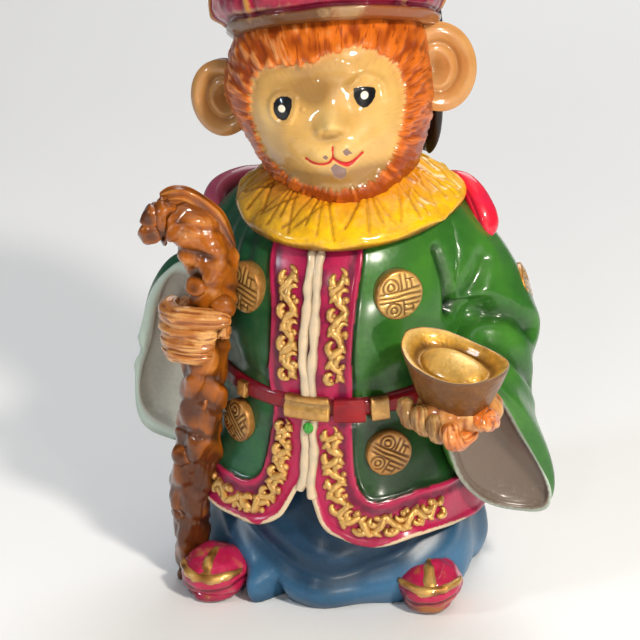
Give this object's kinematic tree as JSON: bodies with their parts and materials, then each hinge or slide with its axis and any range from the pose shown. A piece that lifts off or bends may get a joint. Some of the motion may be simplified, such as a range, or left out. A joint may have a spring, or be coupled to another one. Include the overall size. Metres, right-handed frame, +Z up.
{
  "type": "glazed monkey figure",
  "caption": "Standing robed monkey figure with a staff and a boat-shaped ingot, cast in one piece with a flat foot and a glossy painted glaze.",
  "frame": {"origin": "on the ground plane under the middle of the robe, at the centre of the flat foot", "axes": "+Z up, the figure faces -Y, and +X is the side of the hand that holds the ingot"},
  "size_m": [0.0891, 0.0721, 0.1416],
  "materials": {
    "painted_glaze": "hand-painted colours under a glossy clear glaze"
  },
  "bodies": {
    "root": {"monkey_figure": "painted_glaze"}
  },
  "joints": []
}
